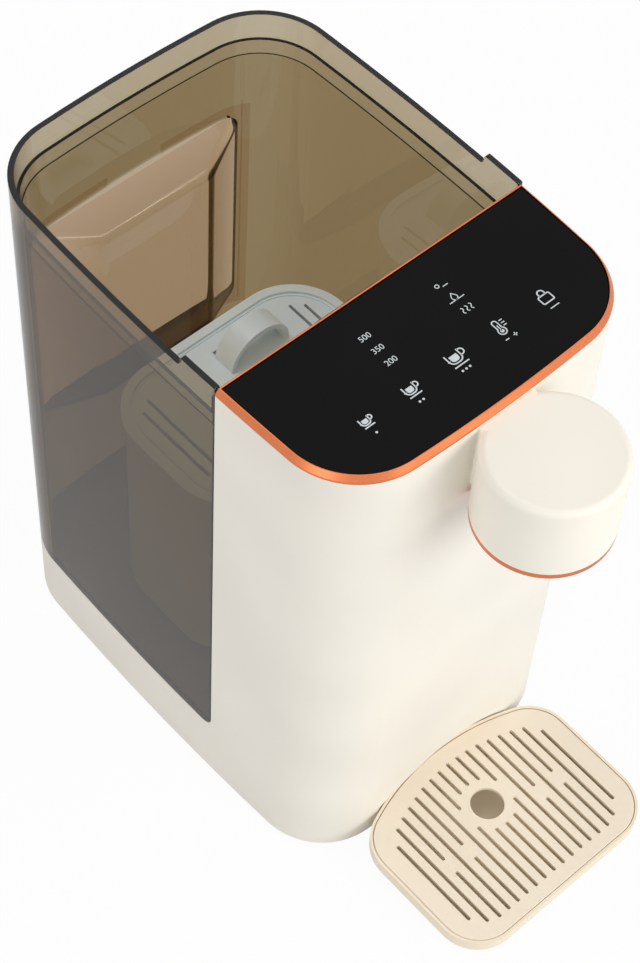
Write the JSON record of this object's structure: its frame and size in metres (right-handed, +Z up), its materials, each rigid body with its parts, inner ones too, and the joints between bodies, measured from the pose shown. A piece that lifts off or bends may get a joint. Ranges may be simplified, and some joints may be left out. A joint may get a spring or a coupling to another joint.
{
  "type": "instant hot water dispenser",
  "caption": "Countertop instant hot water dispenser: slim tower with touch panel and spout, transparent rear tank that lifts off, filter unit in the tank, pull-out drip tray.",
  "frame": {"origin": "middle of the overall box in plan, on the table", "axes": "+Z up, -Y towards the user at the spout, +X to the right seen from the front"},
  "size_m": [0.155, 0.2946, 0.284],
  "materials": {
    "cream_shell": "satin cream moulding",
    "cream_spout": "satin cream moulding",
    "copper_trim": "copper coloured plating",
    "black_glass": "black printed glass",
    "smoke_tank": "smoky brown transparent plastic",
    "white_filter": "white moulding",
    "filter_media": "dark granulate block",
    "tray_plastic": "satin cream moulding",
    "grille_plastic": "satin cream moulding",
    "dark_plastic": "dark moulding",
    "grey_plastic": "grey moulding",
    "clear_guide": "white light guide",
    "board_green": "coated circuit board",
    "steel": "plain steel",
    "zinc_sheet": "zinc coated sheet",
    "rubber_black": "black rubber",
    "silicone": "translucent silicone"
  },
  "bodies": {
    "base": {"main_shell": "cream_shell", "bottom_plate": "dark_plastic", "bottom_screws": "steel", "feet": "rubber_black", "trim_ring": "copper_trim", "glass_panel": "black_glass", "panel_carrier": "dark_plastic", "touch_board": "board_green", "board_screws": "steel", "light_guide": "clear_guide", "touch_springs": "steel", "spout_cover": "cream_spout", "spout_ring": "copper_trim", "spout_floor": "dark_plastic", "spout_screws": "steel", "nozzle": "silicone", "nozzle_seal": "rubber_black", "steam_separator": "grey_plastic", "outlet_hose": "silicone", "module_frame": "zinc_sheet", "frame_screws": "steel", "board_spacers": "steel", "power_board": "board_green", "board_components": "dark_plastic", "power_screws": "steel", "pump_mounts": "rubber_black", "pump_housing": "dark_plastic", "pump_motor": "steel", "flow_meter_body": "grey_plastic", "heater_tube": "steel", "heater_caps": "grey_plastic", "heater_bracket": "zinc_sheet", "thermal_cutouts": "dark_plastic", "outlet_sensor": "steel", "tank_socket": "dark_plastic", "socket_seal": "rubber_black", "socket_screws": "steel", "inlet_hose": "silicone", "pump_hose": "silicone", "heater_hose": "silicone", "hot_hose": "silicone", "hose_clips": "steel", "cord_gland": "rubber_black", "reed_switch": "dark_plastic"},
    "pump_rotor": {"pump_impeller": "grey_plastic"},
    "turbine": {"flow_turbine": "clear_guide"},
    "tank": {"tank_shell": "smoke_tank", "tank_valve_body": "dark_plastic", "valve_nut": "dark_plastic", "float_cage": "white_filter", "valve_spring": "steel"},
    "plunger": {"valve_plunger": "dark_plastic", "valve_seal": "rubber_black"},
    "float": {"level_float": "white_filter"},
    "filter": {"filter_case": "white_filter", "filter_media": "filter_media", "filter_seal": "rubber_black"},
    "filter_lid": {"filter_cover": "white_filter"},
    "tray": {"tray_body": "tray_plastic", "tray_grille": "grille_plastic"}
  },
  "joints": [
    {"name": "pump_spin", "type": "hinge", "parent": "base", "child": "pump_rotor", "pos_m": [0.025, -0.03405, 0.05], "axis": [0, 0, 1], "continuous": true},
    {"name": "turbine_spin", "type": "hinge", "parent": "base", "child": "turbine", "pos_m": [-0.028, -0.03405, 0.085], "axis": [0, 1, 0], "continuous": true},
    {"name": "tank_lift", "type": "slide", "parent": "base", "child": "tank", "axis": [0, 0, 1], "range_m": [0, 0.12]},
    {"name": "valve_plunge", "type": "slide", "parent": "tank", "child": "plunger", "axis": [0, 0, 1], "range_m": [0, 0.003], "stiffness_N_per_m": 300, "springref_m": -0.003, "deforming": ["valve_spring"]},
    {"name": "float_slide", "type": "slide", "parent": "tank", "child": "float", "axis": [0, 0, 1], "range_m": [0, 0.02]},
    {"name": "filter_lift", "type": "slide", "parent": "tank", "child": "filter", "axis": [0, 0, 1], "range_m": [0, 0.13]},
    {"name": "filter_cover_lift", "type": "slide", "parent": "filter", "child": "filter_lid", "axis": [0, 0, 1], "range_m": [0, 0.03]},
    {"name": "tray_pull", "type": "slide", "parent": "base", "child": "tray", "axis": [0, -1, 0], "range_m": [0, 0.08]}
  ]
}
